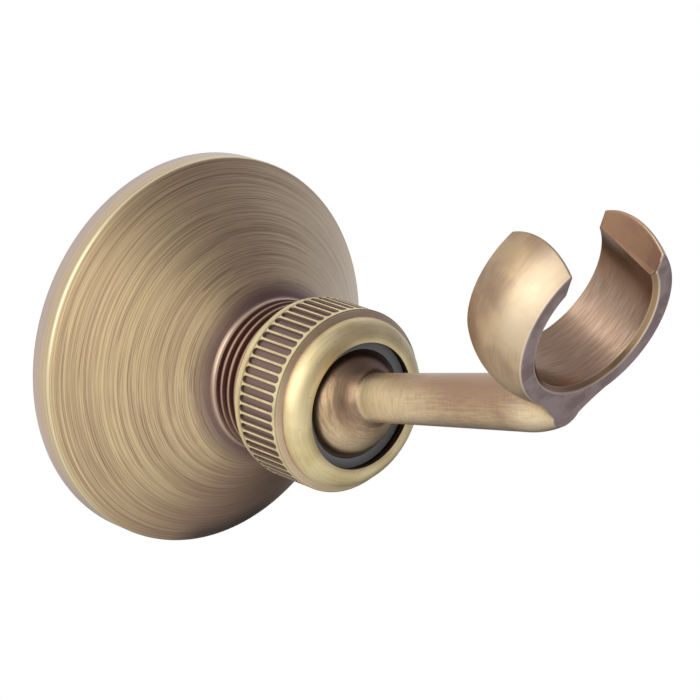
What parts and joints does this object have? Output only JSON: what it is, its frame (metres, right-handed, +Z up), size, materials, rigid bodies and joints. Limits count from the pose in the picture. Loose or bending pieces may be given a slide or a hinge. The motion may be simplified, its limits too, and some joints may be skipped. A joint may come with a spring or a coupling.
{
  "type": "hand shower holder",
  "caption": "Wall holder for a hand shower: conical flange, ball joint clamped by a knurled nut, and an arm with an open tapered cradle.",
  "frame": {"origin": "centre of the flange's back, in the wall plane", "axes": "+Z up, +Y into the wall, so the holder stands out along -Y; +X is to the right for someone facing the wall"},
  "size_m": [0.069, 0.1039, 0.0759],
  "materials": {
    "flange_brass": "brushed antique, turned in rings",
    "nut_brass": "satin antique",
    "arm_brass": "brushed antique",
    "ring_plastic": "matt",
    "seat_plastic": "matt"
  },
  "bodies": {
    "base": {"wall_flange": "flange_brass"},
    "seat": {"ball_seat": "seat_plastic"},
    "arm": {"cradle_arm": "arm_brass"},
    "ring": {"friction_ring": "ring_plastic"},
    "nut": {"clamp_nut": "nut_brass"}
  },
  "joints": [
    {"name": "swivel", "type": "hinge", "parent": "base", "child": "seat", "pos_m": [0, -0.0386, 0], "axis": [0, -1, 0], "continuous": true},
    {"name": "tilt", "type": "hinge", "parent": "seat", "child": "arm", "pos_m": [0, -0.0386, 0], "axis": [1, 0, 0], "range_deg": [-9, 34]},
    {"name": "nut_travel", "type": "slide", "parent": "base", "child": "ring", "axis": [0, -1, 0], "range_m": [0, 0.00181]},
    {"name": "nut_turn", "type": "hinge", "parent": "ring", "child": "nut", "pos_m": [0, -0.0386, 0], "axis": [0, -1, 0], "range_deg": [0, 360]}
  ],
  "couplings": [
    {"joint": "nut_turn", "follows": "nut_travel", "rad_per_m": 3463.7}
  ]
}
